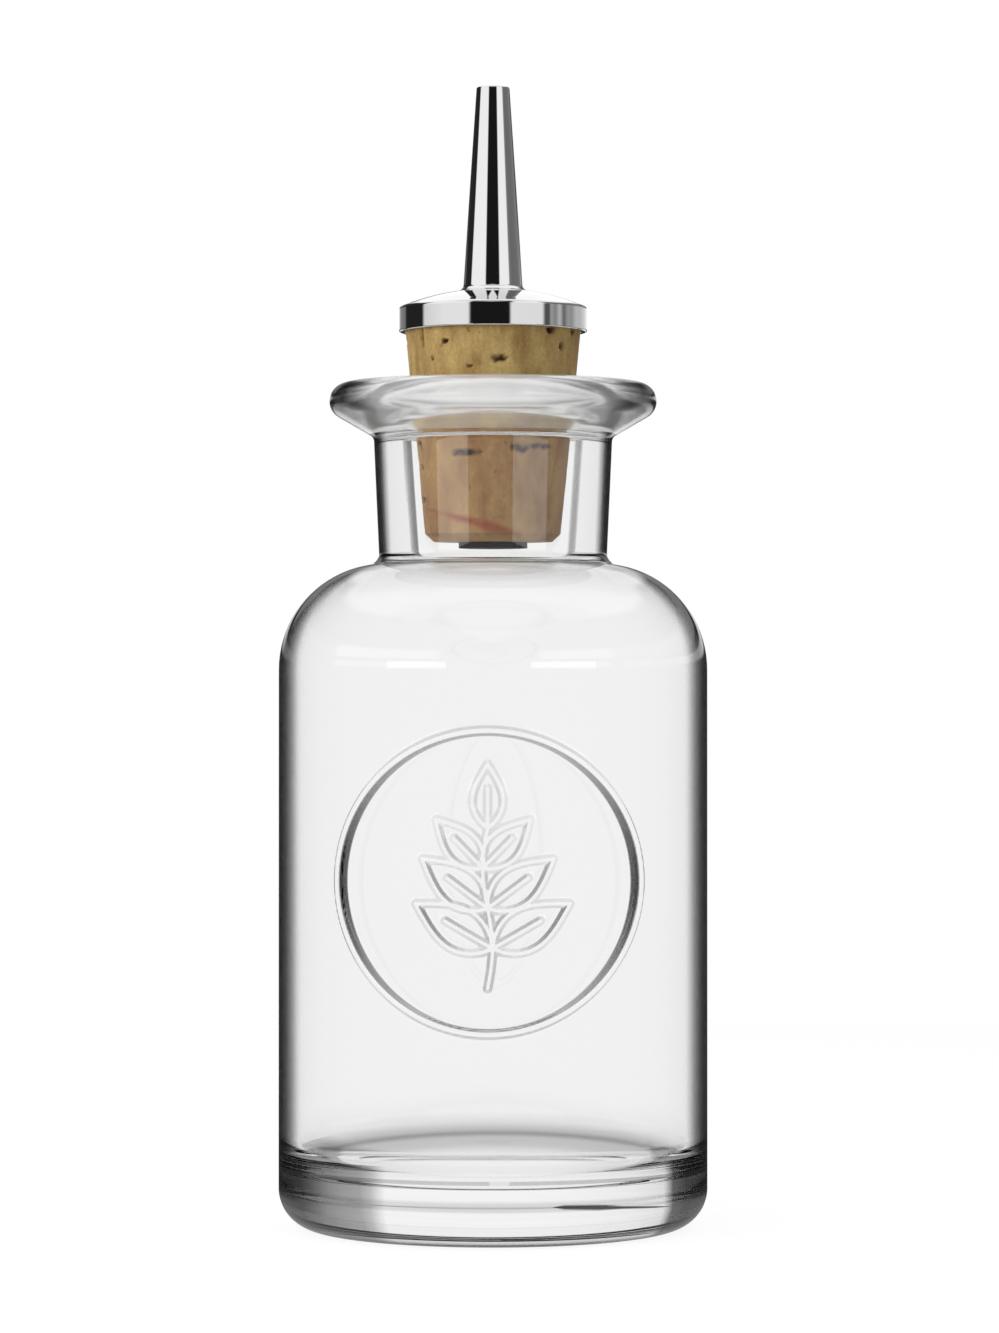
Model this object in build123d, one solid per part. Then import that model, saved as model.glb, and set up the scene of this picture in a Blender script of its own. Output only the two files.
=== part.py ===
from build123d import *
import math
import os

# Bitters bottle: a blown glass bottle with a moulded roundel, and a tapered cork stopper
# that carries a chromed pouring spout. Lengths are millimetres, angles are degrees. Z points
# up, the bottle stands on z = 0 about the Z axis, and the roundel faces -Y.

# Glass body
body_radius = 26.5
wall = 2.5
base_corner_radius = 5.05
bearing_width = 9.0
push_up = 1.5
floor_height = 6.8
floor_corner_radius = 4.6

# Shoulder: a quarter round outside and a smaller one inside, each blended into the neck
shoulder_spring_height = 69.0
shoulder_radius = 13.1
shoulder_blend_radius = 2.0
inner_shoulder_radius = 12.1
inner_spring_drop = 0.1
inner_blend_radius = 2.5

# Neck, mouth and lip; the neck's height runs from the crown of the shoulder to the lip's top
neck_height = 22.3
neck_radius = 14.05
neck_angle = 2.6
bore_angle = 4.25
undercut_height = 1.4
undercut_depth = 1.45
throat_depth = 5.6
throat_round_radius = 0.8
mouth_round_radius = 3.4
lip_radius = 20.25
lip_edge_radius = 2.2
lip_underside_angle = 30.0
lip_dish_angle = 14.0
lip_root_radius = 1.0

# Roundel: one raised bead, laid on the front of the body
roundel_drop = 25.35
roundel_radius = 18.6
bead_width = 1.3
bead_rise = 0.45

# Cork
cork_foot_radius = 8.33
cork_angle = 5.5
cork_length = 26.15
cork_insertion = 19.75
cork_foot_bevel = 1.0
cork_clearance = 0.05

# Chromed cap
cap_radius = 11.65
cap_wall = 0.9
skirt_height = 3.0
dome_rise = 2.35
cap_edge_radius = 0.5
spout_seat_radius = 4.4

# Chromed spout
spout_base_radius = 3.7
spout_tip_radius = 2.03
spout_length = 25.35
spout_flare = 0.5
spout_bore_radius = 2.3
spout_tip_wall = 0.68
spout_tip_edge_radius = 0.2
spigot_radius = 2.9
spigot_length = 4.0

# Shank through the cork, and the dash insert in its lower end
shank_radius = 3.6
shank_bore_radius = 2.4
collar_radius = 5.0
insert_length = 8.0
insert_flange_radius = 4.25
insert_flange_thickness = 0.75
orifice_radius = 0.8
orifice_inlet_radius = 1.6
orifice_inlet_depth = 1.2

# Gaps between pieces that are glued or pressed together, and the run-out of cuts
glue_gap = 0.05
press_gap = 0.02
overrun = 2.0

# Places that several pieces share
inner_radius = body_radius - wall
shoulder_crown_height = shoulder_spring_height + shoulder_radius
glass_height = shoulder_crown_height + neck_height
roundel_height = shoulder_spring_height - roundel_drop
cork_foot_height = glass_height - cork_insertion
skirt_foot_height = cork_foot_height + cork_length
rim_height = skirt_foot_height + skirt_height
skirt_inner_radius = cap_radius - cap_wall
dome_radius = (cap_radius**2 + dome_rise**2) / (2 * dome_rise)
dome_centre_height = rim_height + dome_rise - dome_radius


def direction(angle):
    """Unit vector in the outline plane, at an angle above the radial direction."""
    return Vector(math.cos(math.radians(angle)), math.sin(math.radians(angle)))


def meet(point_a, direction_a, point_b, direction_b):
    """Where two straight lines of an outline cross."""
    apart = point_b - point_a
    turn = direction_a.X * direction_b.Y - direction_a.Y * direction_b.X
    along = (apart.X * direction_b.Y - apart.Y * direction_b.X) / turn
    return point_a + direction_a * along


def blend(line_point, line_direction, arc_centre, arc_radius, blend_radius):
    """Ends of the arc that joins a round shoulder to a straight neck wall, smooth at both."""
    outward = Vector(line_direction.Y, -line_direction.X)
    start = line_point + outward * blend_radius - arc_centre
    along = start.dot(line_direction)
    reach = arc_radius + blend_radius
    rise = math.sqrt(along**2 - start.dot(start) + reach**2) - along
    centre = arc_centre + start + line_direction * rise
    on_shoulder = arc_centre + (centre - arc_centre) * (arc_radius / reach)
    on_neck = centre - outward * blend_radius
    return on_shoulder, on_neck


def dome_point(radius, skin=0):
    """Point of the cap's dome at a radius, on its top or a skin's depth below it."""
    sphere = dome_radius - skin
    return Vector(radius, dome_centre_height + math.sqrt(sphere**2 - radius**2))


def cork_radius(height, gap=0):
    """Radius of the cork's taper at a height, or of the seat that leaves a gap around it."""
    taper = math.radians(cork_angle)
    return cork_foot_radius + (height - cork_foot_height) * math.tan(taper) + gap / math.cos(taper)


def turned(outline):
    """Solid turned about Z from a closed outline of radii and heights."""
    return revolve(Plane.XZ * make_face(outline.edges()), Axis.Z)


def raised_on_front(drawing, rise):
    """A drawing on the XZ plane, projected to the front and raised off the round wall."""
    column = Pos(0, 0, glass_height / 2)
    skin = column * (
        Cylinder(body_radius + rise, glass_height)
        - Cylinder(body_radius - wall / 2, glass_height)
    )
    return extrude(drawing, amount=body_radius + overrun) & skin


def glass_bottle():
    """The bottle, from its push-up round the outside and back down to its floor."""
    spring = Vector(body_radius, shoulder_spring_height)
    shoulder_centre = spring - Vector(shoulder_radius, 0)
    neck_up = direction(90 - neck_angle)
    neck_start = Vector(neck_radius, shoulder_crown_height)
    shoulder_top, neck_foot = blend(
        neck_start, neck_up, shoulder_centre, shoulder_radius, shoulder_blend_radius
    )

    lip_centre = Vector(lip_radius - lip_edge_radius, glass_height - lip_edge_radius)
    lip_slope = direction(lip_underside_angle)
    lip_foot = lip_centre + direction(lip_underside_angle - 90) * lip_edge_radius
    lip_root = meet(neck_foot, neck_up, lip_foot, lip_slope)
    lip_brow = lip_centre + direction(90 + lip_dish_angle) * lip_edge_radius

    throat_foot_height = glass_height - throat_depth
    throat_foot = Vector(cork_radius(throat_foot_height, cork_clearance), throat_foot_height)
    throat_up = direction(90 - cork_angle)
    mouth = meet(throat_foot, throat_up, lip_brow, direction(lip_dish_angle))

    bore_up = direction(90 - bore_angle)
    bore_top = throat_foot + Vector(undercut_depth, -undercut_height)
    inner_spring = Vector(inner_radius, shoulder_spring_height - inner_spring_drop)
    inner_centre = inner_spring - Vector(inner_shoulder_radius, 0)
    inner_top, bore_foot = blend(
        bore_top, bore_up, inner_centre, inner_shoulder_radius, inner_blend_radius
    )

    bearing_inner = Vector(body_radius - bearing_width, 0)
    with BuildLine() as outline:
        TangentArc((0, push_up), bearing_inner, tangent=(1, 0))
        FilletPolyline(bearing_inner, (body_radius, 0), spring, radius=base_corner_radius)
        shoulder = TangentArc(spring, shoulder_top, tangent=(0, 1))
        TangentArc(shoulder_top, neck_foot, tangent=shoulder % 1)
        FilletPolyline(neck_foot, lip_root, lip_foot, radius=lip_root_radius)
        TangentArc(lip_foot, lip_brow, tangent=lip_slope)
        FilletPolyline(
            lip_brow,
            mouth,
            throat_foot,
            bore_top,
            bore_foot,
            radius=(mouth_round_radius, throat_round_radius, throat_round_radius),
        )
        inner_blend = TangentArc(bore_foot, inner_top, tangent=-bore_up)
        TangentArc(inner_top, inner_spring, tangent=inner_blend % 1)
        FilletPolyline(
            inner_spring, (inner_radius, floor_height), (0, floor_height), radius=floor_corner_radius
        )
        Line((0, floor_height), (0, push_up))
    return turned(outline) + roundel_bead()


def roundel_bead():
    """The roundel's bead: a flat ring wrapped onto the round wall, which runs into the glass."""
    ring = Circle(roundel_radius) - Circle(roundel_radius - bead_width)
    return raised_on_front(Plane.XZ * Pos(0, roundel_height) * ring, bead_rise)


def cork_stopper():
    """Tapered cork, bored through, its head squeezed into the cap and its foot bevelled."""
    head_radius = skirt_inner_radius - glue_gap
    head_height = dome_point(head_radius, cap_wall).Y - glue_gap
    bore = shank_radius + glue_gap
    with BuildLine() as outline:
        Polyline(
            (bore, cork_foot_height),
            (cork_foot_radius - cork_foot_bevel, cork_foot_height),
            (cork_radius(cork_foot_height + cork_foot_bevel), cork_foot_height + cork_foot_bevel),
            (cork_radius(skirt_foot_height), skirt_foot_height),
            (head_radius, skirt_foot_height),
            (head_radius, head_height),
            (bore, head_height),
            close=True,
        )
    return turned(outline)


def pourer_cap():
    """Pressed cap: a skirt and a shallow dome of one wall, flattened where the spout stands."""
    hole = spigot_radius + press_gap
    seat = dome_point(spout_seat_radius)
    under_seat = dome_point(collar_radius, cap_wall)
    under_rim = dome_point(skirt_inner_radius, cap_wall)
    rim = dome_point(cap_radius)
    with BuildLine() as outline:
        Polyline((hole, under_seat.Y), (hole, seat.Y), seat)
        ThreePointArc(seat, dome_point((spout_seat_radius + cap_radius) / 2), rim)
        Polyline(rim, (cap_radius, skirt_foot_height), (skirt_inner_radius, skirt_foot_height), under_rim)
        ThreePointArc(
            under_rim, dome_point((collar_radius + skirt_inner_radius) / 2, cap_wall), under_seat
        )
        Line(under_seat, (hole, under_seat.Y))
    section = make_face(outline.edges())
    outer_corners = section.vertices().group_by(Axis.X)[-1].sort_by(Axis.Y)
    section = fillet(outer_corners[-1:], cap_edge_radius)
    return revolve(Plane.XZ * section, Axis.Z)


def pourer_spout():
    """Tapered tube with a small flare at its foot, and a spigot that goes down into the shank."""
    seat_height = dome_point(spout_seat_radius).Y
    foot_radius = spout_base_radius + spout_flare
    tip_height = seat_height + spout_length
    with BuildLine() as outline:
        FilletPolyline(
            (spout_bore_radius, seat_height - spigot_length),
            (spigot_radius, seat_height - spigot_length),
            (spigot_radius, seat_height),
            (foot_radius, seat_height),
            (spout_base_radius, seat_height + spout_flare),
            (spout_tip_radius, tip_height),
            (spout_tip_radius - spout_tip_wall, tip_height),
            (spout_bore_radius, seat_height),
            (spout_bore_radius, seat_height - spigot_length),
            radius=(0, 0, 0, 0, spout_flare, spout_tip_edge_radius, spout_tip_edge_radius, 0),
            close=True,
        )
    return turned(outline)


def shank_tube():
    """Tube through the cork, with a collar that fills the dome and a socket for the spigot."""
    collar_foot = dome_point(skirt_inner_radius - glue_gap, cap_wall).Y - glue_gap
    collar_top = dome_point(collar_radius, cap_wall).Y
    socket = spigot_radius + press_gap
    socket_foot = dome_point(spout_seat_radius).Y - spigot_length - press_gap
    with BuildLine() as outline:
        Polyline(
            (shank_bore_radius, cork_foot_height),
            (shank_radius, cork_foot_height),
            (shank_radius, collar_foot),
            (collar_radius, collar_foot),
            (collar_radius, collar_top),
            (socket, collar_top),
            (socket, socket_foot),
            (shank_bore_radius, socket_foot),
            close=True,
        )
    return turned(outline)


def dash_insert():
    """Plug with a fine orifice that lets out one dash, and a flange over the foot of the shank."""
    flange_foot = cork_foot_height - insert_flange_thickness
    plug_radius = shank_bore_radius - press_gap
    with BuildLine() as outline:
        Polyline(
            (orifice_inlet_radius, flange_foot),
            (insert_flange_radius, flange_foot),
            (insert_flange_radius, cork_foot_height),
            (plug_radius, cork_foot_height),
            (plug_radius, cork_foot_height + insert_length),
            (orifice_radius, cork_foot_height + insert_length),
            (orifice_radius, flange_foot + orifice_inlet_depth),
            close=True,
        )
    return turned(outline)


os.makedirs("parts", exist_ok=True)
pieces = {
    "glass_bottle": glass_bottle(),
    "cork_stopper": cork_stopper(),
    "pourer_cap": pourer_cap(),
    "pourer_spout": pourer_spout(),
    "shank_tube": shank_tube(),
    "dash_insert": dash_insert(),
}
for name, piece in pieces.items():
    export_step(piece, f"parts/{name}.step")
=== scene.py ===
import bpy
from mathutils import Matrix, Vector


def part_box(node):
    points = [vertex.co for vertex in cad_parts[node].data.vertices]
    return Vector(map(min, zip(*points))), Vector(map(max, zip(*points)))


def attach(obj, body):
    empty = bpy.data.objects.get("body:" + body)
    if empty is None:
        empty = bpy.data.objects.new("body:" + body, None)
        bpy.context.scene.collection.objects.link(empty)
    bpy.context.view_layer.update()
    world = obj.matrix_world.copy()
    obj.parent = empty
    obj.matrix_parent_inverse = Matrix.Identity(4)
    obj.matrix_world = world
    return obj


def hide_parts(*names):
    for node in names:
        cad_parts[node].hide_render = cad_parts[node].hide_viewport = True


bl_info = {
    "name": "Bitters Bottle",
    "version": (1, 0, 0),
    "blender": (4, 5, 0),
    "location": "3D View > Sidebar > Bottle",
    "description": "Dresses a corked dash bottle in glass, cork and chrome, and sets its studio",
    "category": "Object",
}

import math
import random

import bpy
import numpy as np
from mathutils import Vector, noise

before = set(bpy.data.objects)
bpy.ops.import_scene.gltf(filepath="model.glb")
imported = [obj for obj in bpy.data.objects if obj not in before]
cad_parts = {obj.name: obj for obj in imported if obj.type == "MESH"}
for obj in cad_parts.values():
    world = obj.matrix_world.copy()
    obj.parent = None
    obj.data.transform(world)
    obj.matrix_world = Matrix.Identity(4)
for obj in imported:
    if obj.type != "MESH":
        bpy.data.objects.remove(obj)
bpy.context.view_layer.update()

# Points every so many degrees along an arc of an outline, and columns round a turned piece
ARC_STEP = 4.0
COLUMNS = 192
# Edges that turn more than this are shown sharp
SHARP = math.radians(40)
CORK_SHARP = math.radians(35)


def mm(size):
    """A size in millimetres, in Blender's metres."""
    return size * 0.001


# The longest chord of an arc. Any longer run is straight, and extra points stand close to its
# ends, so that smooth shading stays off it
CHORD = mm(1.1)
EDGE_GAP = mm(0.08)

# Share of the push-up's dome that stays round, before the rounding at its edge
PUSH_UP_ARC = 0.9
# Where the dome's outline ends inside the cap's, in roundings of its edge, and how far the skirt
# goes on over the dome's foot before that rounding
DOME_END = 1.6
CAP_SHOULDER = mm(0.06)
# Points along the dome's top and its underside
DOME_POINTS = 14
VAULT_POINTS = 10
# Rounding of the flare's foot, and spacing of the mesh along the spout
FLARE_EDGE = mm(0.08)
SPOUT_STEP = mm(1.5)
# Thickness of the paper's round board
PAPER_DEPTH = mm(2)
# A point that is lower than the skirt by this lies on the cork's ground side
HAIR = mm(0.01)
# Size and depth of that side's unevenness
SIDE_GRAIN = mm(0.8)
SIDE_DEPTH = mm(0.02)

# The cork's pores as the photograph shows them: place across the front, height over the foot,
# width and height of the pore, in millimetres
FRONT_PORES = (
    (-8.5, 25.05, 0.5, 2.2),
    (-5.7, 24.35, 1.0, 0.6),
    (-7.3, 22.35, 0.6, 0.4),
    (-2.7, 21.25, 0.8, 0.5),
    (1.1, 22.15, 1.9, 0.9),
    (7.3, 25.85, 1.4, 0.9),
    (9.9, 25.85, 0.9, 0.8),
    (8.6, 23.95, 0.9, 1.2),
    (-2.9, 10.75, 3.8, 0.8),
    (3.4, 11.25, 2.6, 1.1),
    (5.8, 11.55, 3.2, 0.7),
    (-8.3, 11.65, 0.6, 1.4),
    (-8.2, 9.05, 0.8, 0.7),
    (-8.6, 7.75, 0.6, 1.0),
    (8.9, 9.25, 0.6, 1.8),
)
PORE_SEED = 7
# Pores drawn at random: how many, from which angle off the front they count, their heights over
# the foot, their sizes as shares whose square counts, and width and height of the least pore with
# what a full size adds, in millimetres
BACK_PORES = 120
BACK_FROM = 1.15
BACK_HEIGHTS = (0.5, 26.0)
BACK_SIZES = (0.4, 1.0)
BACK_WIDTH = (0.5, 2.6)
BACK_TALL = (0.25, 0.6)
# Size of the lumps that make a pore ragged, how far it reaches without them, and their share
PORE_LUMPS = mm(0.55)
PORE_REACH = 1.25
PORE_RAGGED = 0.9

# The red streak near the cork's foot, in millimetres: its height at the right and where that is,
# its rise to the left for each millimetre, half its width, its middle across, and where it is cut
STREAK_HEIGHT = 0.9
STREAK_RIGHT = 2.7
STREAK_RISE = 0.3
STREAK_HALF = 0.75
STREAK_MIDDLE = -0.6
STREAK_END = 3.5
# How strong it is at its core, where 1 is full, and how much it loses for each millimetre aside
STREAK_CORE = 1.5
STREAK_FADE = 0.12
# Its tone, what its blotches add, and the limits of both, with the size of the blotches and their
# noise's roughness, lacunarity and octaves
STREAK_TONE = 0.85
BLOTCH_TONE = 0.3
STREAK_LIMITS = (0.5, 0.95)
BLOTCH_SIZE = mm(2.2)
BLOTCH_NOISE = (0.9, 2.0, 4)
# The soaked part of the cork: strength, and millimetres of its top and of its soft edge
SOAKED = 0.25
SOAKED_TOP = 17
SOAKED_EDGE = 2

# Stands for a point far from any line of the roundel
FAR = 9.0

# The sprig's leaf pairs: height on the stem as a share of it, leaf length as a share of the
# longest, and the leaf's slope in degrees. The top leaf's length is such a share too
LEAF_SHARES = ((0.22, 1.0, 30.0), (0.50, 0.92, 37.0), (0.78, 0.76, 46.0))
TOP_LEAF = 0.72
# A leaf's lines, as shares of its length: how far aside each bulges, and how far it reaches. The
# power moves the widest place toward the leaf's foot
LEAF_LINES = ((-0.24, 1.0), (0.24, 1.0), (0.0, 0.62))
LEAF_SHAPE = 0.8
# How much of the stem is under the ring's centre, and how far it sways, as shares of its length
STEM_BELOW = 0.66
STEM_SWAY = 0.03
# Points along each of a leaf's lines and along the stem
LEAF_POINTS = 13
STEM_POINTS = 17
# How much wider the painted dark line inside the ring is at its sides than at its top, as a share
RING_WIDER = 1.25
# Painted shade on the sprig's slopes, as the light it takes: what every slope takes, what it adds
# as it leans across and as it faces the middle line, and the limits of their sum. That counts in
# full from this far off the line
SPRIG_DARK = (0.16, 0.3, 0.3)
SPRIG_DARK_LIMITS = (0.1, 0.75)
SPRIG_MIDDLE = mm(4)
# How strong that painted shade is at the ring's centre, from where it gets weaker upward, and its
# limits
SPRIG_STRENGTH = 0.85
SPRIG_STRENGTH_LIMITS = (0.45, 1)

# What an upright mirror sees round the studio: degrees from the front, to the right, and
# brightness. White and black cards stand at the front and the left, narrow flags at the right
MIRROR_ROUND = (
    (-180, 1.0),
    (-165, 0.9),
    (-156, 0.3),
    (-136, 0.2),
    (-131, 0.02),
    (-95, 0.02),
    (-91, 0.85),
    (-60, 1.02),
    (-29, 1.02),
    (-26, 0.012),
    (21, 0.012),
    (24, 0.98),
    (64, 0.95),
    (68, 0.1),
    (74, 0.1),
    (77, 0.42),
    (84, 0.28),
    (91, 0.6),
    (98, 0.146),
    (106, 0.39),
    (114, 0.35),
    (124, 0.6),
    (136, 0.6),
    (151, 0.78),
    (165, 1.0),
    (180, 1.0),
)
# The same for a mirror that leans back, as the spout does, and so looks over the flags
MIRROR_UP = (
    (-180, 0.35),
    (-158, 0.35),
    (-153, 0.03),
    (-95, 0.02),
    (-91, 1.16),
    (-30, 1.16),
    (-26, 0.012),
    (25, 0.012),
    (29, 1.16),
    (66, 1.14),
    (71, 0.24),
    (84, 0.18),
    (118, 0.2),
    (142, 0.3),
    (158, 0.35),
    (180, 0.35),
)
# Slopes of the view at which the glass mirrors the cards. It mirrors little light between them,
# which keeps its outlines dark. The chrome, whose gloss isn't quite sharp, mirrors the cards at
# every slope, but for straight behind the bottle
CARD_SLOPES = (
    (-0.1, 1.0),
    (-0.085, 0.0),
    (0.05, 0.0),
    (0.065, 1.0),
    (0.105, 1.0),
    (0.12, 0.0),
    (0.16, 0.0),
    (0.18, 1.0),
    (0.29, 1.0),
    (0.33, 0.0),
)
# What a mirror sees of the white ceiling, and of its part over the camera, which is dimmer
MIRROR_TOP = 1.18
MIRROR_FRONT = 0.6
# Brightness that mirrors see low down: the far paper, painted dark for them, and the room between floor
# and cards
MIRROR_LOW = 0.03
# Slope from which a mirrored view passes over the flags, and slopes between which the ceiling
# begins. Its edge comes down toward the back by a share of the view's way there, and goes up at
# the sides with the view's way aside, up to a limit
OVER_FLAGS = 0.14
CEILING_EDGE = (0.26, 0.34)
CEILING_TILT = 0.15
CEILING_ASIDE = 0.4
# How far a view goes toward the camera, as a share of it: between which values the straight back
# ends, and between which the part over the camera begins
BACK_END = (-0.9, -0.7)
FRONT_START = (0.1, 0.3)
# Painted glow of the paper as mirrors see it: brightness of a patch in front of the bottle, how far
# in front its middle is, and between which distances from the middle it falls to the low level
PAPER_PAINTED_PATCH = (0.5, mm(90), mm(60), mm(150))
# What is seen through the glass: slope of the view against the floor, and brightness
GLASS_SLOPES = ((-0.32, 0.7), (-0.22, 0.925), (0.22, 0.925), (0.32, 0.7), (1.0, 0.7))
# How much of that is left where the glass mirrors it from inside
GLASS_MIRRORED = 0.95
# Light that a shadow keeps on its way through each skin
GLASS_SHADOW = (0.9, 0.91, 0.9, 1)
# Brightness of the paper seen through the glass, and the share of its look that is even glow
PAPER_THROUGH = 0.925
PAPER_GLOW = 0.8

# Painted shade at the back of the floor's inside corner: light let through, by height in millimetres
# over the bearing ring. It stands for the round corner bending the view down to the dark table edge
CORNER_LIGHT = (
    (6.8, 1.0),
    (7.5, 0.85),
    (8.2, 0.62),
    (9.1, 0.56),
    (9.6, 0.3),
    (10.1, 0.54),
    (10.7, 0.7),
    (11.3, 0.85),
    (12.4, 1.0),
)
# Height where the ramp of that light ends, and how its lines sink toward the sides: millimetres
# for each square millimetre
CORNER_TOP = 20
CORNER_SAG = 0.0016
# Painted darker patch at either end of the floor: how far aside and how far up it sets in, and its
# light
CORNER_ASIDE = (mm(19.6), mm(20.6))
CORNER_DOWN = (mm(9.2), mm(8.5))
CORNER_PATCH = 0.35
# Painted shade on each skin of the base: light it lets through at its left and its right half, from
# the middle to the outline
BASE_LEFT = ((0.0, 1.0), (0.14, 1.0), (0.185, 0.55), (0.22, 0.4), (0.4, 0.25), (0.57, 0.1), (1.0, 0.04))
BASE_RIGHT = ((0.0, 1.0), (0.25, 0.95), (0.4, 0.85), (0.46, 0.14), (0.57, 0.07), (1.0, 0.04))
# Painted reflection: dark line of the narrow flag that the base's round edge mirrors at the right:
# millimetres from the middle, and width as a share of a millimetre
FLAG_WIDTHS = ((7.6, 0.001), (9.0, 0.7), (13.0, 0.9), (16.0, 0.45), (20.0, 0.3), (22.0, 0.001))
# Where the ramp of those widths ends, in millimetres, the line's height over the bearing ring, and
# how it sinks toward the sides, as the corner's lines do
FLAG_REACH = 30
FLAG_HEIGHT = mm(5.35)
FLAG_SAG = 0.0023
# Where the line's soft edge sets in, as a share of its half width, and the light in its middle
FLAG_EDGE = 0.4
FLAG_LIGHT = 0.1
# Painted dark line of shade at the very foot of the base: heights between which it ends, and its light
FOOT_LINE = (mm(0.45), mm(0.8))
FOOT_LIGHT = 0.15
# Painted shade on the ring: light through its inner and its outer slope, from its top and foot to
# its sides, and the half widths from a slope's middle between which its painted dark line fades
RING_INNER_LIGHT = (0.62, 0.03)
RING_OUTER_LIGHT = (0.72, 0.96)
SLOPE_FADE = (0.7, 1.3)
# Places across between which the painted shade at the bore's left ends, and the power of its light
BORE_LEFT = (mm(-3), mm(-2))
BORE_LEFT_POWER = 5.0
# How much the lean of the glass's outside counts for its painted dark outline
WALL_LEAN = 0.45
# Roughness that the lipping tool leaves
TOOLED = 0.14
# Depths under the lip's top between which the rim's painted dark side ends
RIM_SIDE = (mm(2.6), mm(4.2))

# Slots of the glass's skins, in their order
OUTER, INNER, BORE, BASE, LIP, NECK, MOUTH = range(7)

# Where the soft boxes stand, their width and height, all in metres, the setting of their power,
# and whether mirrors show them. The two low strips give the neck its two soft veils
SOFT_BOXES = (
    ("key_box", (-0.58, -0.4, 0.3), (0.5, 0.5), "key", False),
    ("top_box", (0.1, -0.05, 0.7), (0.6, 0.6), "top", False),
    ("left_strip", (-0.117, -0.153, 0.083), (0.107, 0.018), "strip", True),
    ("right_strip", (0.115, -0.153, 0.083), (0.117, 0.018), "strip", True),
)


def linear(code):
    """Linear red, green and blue of an sRGB colour written as #rrggbb."""
    parts = [int(code[i : i + 2], 16) / 255 for i in (1, 3, 5)]
    return tuple(c / 12.92 if c <= 0.04045 else ((c + 0.055) / 1.055) ** 2.4 for c in parts)


def length(description, millimetres):
    """A size that a user can change, with its default in millimetres."""
    return bpy.props.FloatProperty(
        description=description, default=mm(millimetres), unit="LENGTH", precision=5
    )


def turn(description, degrees):
    """An angle that a user can change, with its default in degrees."""
    return bpy.props.FloatProperty(
        description=description, default=math.radians(degrees), unit="ROTATION"
    )


def plain(description, value):
    """A number without a unit that a user can change."""
    return bpy.props.FloatProperty(description=description, default=value)


def colour(description, code):
    """A colour that a user can change, with its default as sRGB hex."""
    return bpy.props.FloatVectorProperty(
        description=description, default=linear(code), subtype="COLOR", size=3, min=0, max=1
    )


def radius_of(node):
    """Radius of a turned CAD node, in millimetres, read across X."""
    low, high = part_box(node)
    return (high.x - low.x) / 2 / mm(1)


def top_of(node):
    """Height of a CAD node's top, in millimetres."""
    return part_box(node)[1].z / mm(1)


class BottleSizes(bpy.types.PropertyGroup):
    """The glass, from its base up to its lip."""

    body_radius: length("Outside radius of the straight body", radius_of("glass_bottle"))
    height: length("Height of the glass", top_of("glass_bottle"))
    wall: length("Thickness of the body's wall", 2.5)
    base_corner: length("Outside radius at the foot of the body", 5.05)
    bearing_width: length("From the wall in to the push-up's edge", 9.0)
    bearing_edge: length("Rounding at the push-up's edge", 3.0)
    push_up: length("Rise of the base's hollow", 1.5)
    floor_height: length("Height of the inside floor", 6.8)
    floor_corner: length("Inside radius at the floor", 4.6)
    base_top: length("How far the base's dark skin goes on over the floor", 3.0)
    spring: length("Height where the straight wall ends", 69.0)
    shoulder: length("Radius of the round shoulder", 13.1)
    shoulder_blend: length("Radius between shoulder and neck", 1.5)
    inner_drop: length("How much lower the inside wall ends", 0.1)
    inner_shoulder: length("Radius of the shoulder's inside", 12.1)
    inner_blend: length("Inside radius between shoulder and bore", 2.5)
    neck_radius: length("Radius of the neck at the shoulder's crown", 14.05)
    neck_angle: turn("How far the neck leans outward", 2.6)
    bore_radius: length("Radius at the top of the bore", 11.2)
    bore_angle: turn("How far the bore leans outward", 4.25)
    undercut: length("Height of the step under the throat", 1.4)
    throat_depth: length("From the lip down to the end of the cork's seat", 5.6)
    throat_radius: length("Radius at the end of the cork's seat", 9.75)
    throat_angle: turn("Taper of the cork's seat", 5.5)
    throat_round: length("Rounding at both edges of the undercut", 0.8)
    mouth_round: length("Rounding from the lip into the mouth", 3.4)
    lip_radius: length("Outside radius of the flared lip", 20.25)
    lip_edge: length("Rounding of the lip's rim", 2.2)
    lip_underside: turn("Slope of the lip's underside", 30.0)
    lip_dish: turn("Slope of the lip's top, down to the mouth", 14.0)
    lip_root: length("Rounding between neck and lip", 1.0)


class RoundelSizes(bpy.types.PropertyGroup):
    """The raised ring on the front, and the sprig that it frames."""

    height: length("Height of the ring's centre", 43.65)
    radius: length("Outside radius of the ring", 18.6)
    bead_width: length("Width of the ring's bead", 1.3)
    bead_rise: length("How far the bead stands off the wall", 0.42)
    bead_flank: length("Width of each of the bead's slopes", 0.38)
    line_width: length("Width of the sprig's raised lines", 1.15)
    line_rise: length("How far the sprig's lines stand off the wall", 0.36)
    stem: length("Length of the sprig's stem", 19.0)
    leaf: length("Length of the longest leaf", 10.5)
    grid: length("Spacing of the mesh over the ring", 0.24)


class CorkSizes(bpy.types.PropertyGroup):
    """The stopper's cork, its pores and its colours."""

    foot_radius: length("Radius that the taper has at the foot", 8.33)
    taper: turn("Slope of the side", 5.5)
    bore: length("Radius of the hole for the shank", 3.65)
    bevel: length("Bevel round the foot", 1.0)
    head_radius: length("Radius squeezed into the cap", 10.7)
    pore_depth: length("Depth of the deepest pores", 0.5)
    grain: length("Size of the cork's cells as they show", 0.45)
    grid: length("Spacing of the mesh on the side", 0.25)
    light: colour("Freshly ground cork", "#b99f66")
    dark: colour("Older, denser cork", "#836138")
    bark: colour("Bark dust inside the pores", "#3c2318")
    stain: colour("Red stain near the foot", "#8a3a30")
    fleck: colour("Dense grains all over the cork", "#6b4426")


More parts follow.
